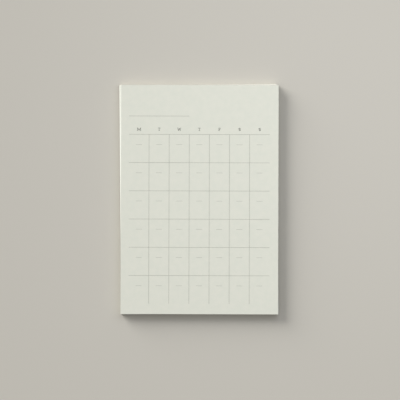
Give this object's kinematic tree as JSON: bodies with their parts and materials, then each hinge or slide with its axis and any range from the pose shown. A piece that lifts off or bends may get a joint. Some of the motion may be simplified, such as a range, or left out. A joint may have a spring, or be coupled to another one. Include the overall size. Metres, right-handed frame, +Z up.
{
  "type": "undated diary",
  "caption": "Glued pad of printed month sheets on a grey backing board, with an open calendar grid and a rule for the month's name on its top page.",
  "frame": {"origin": "middle of the underside, on the surface the pad lies on", "axes": "+Z up through the pad, +Y along the page towards its glued head, +X to the right of the page"},
  "size_m": [0.147, 0.2122, 0.0086],
  "materials": {
    "paper": "matt, uncoated",
    "greyboard": "matt, flecked",
    "glue": "satin, brushed on",
    "ink": "matt grey print"
  },
  "bodies": {
    "root": {"page_block": "paper", "backing_board": "greyboard", "padding_glue": "glue", "printed_grid": "ink", "title_rule": "ink"}
  },
  "joints": []
}
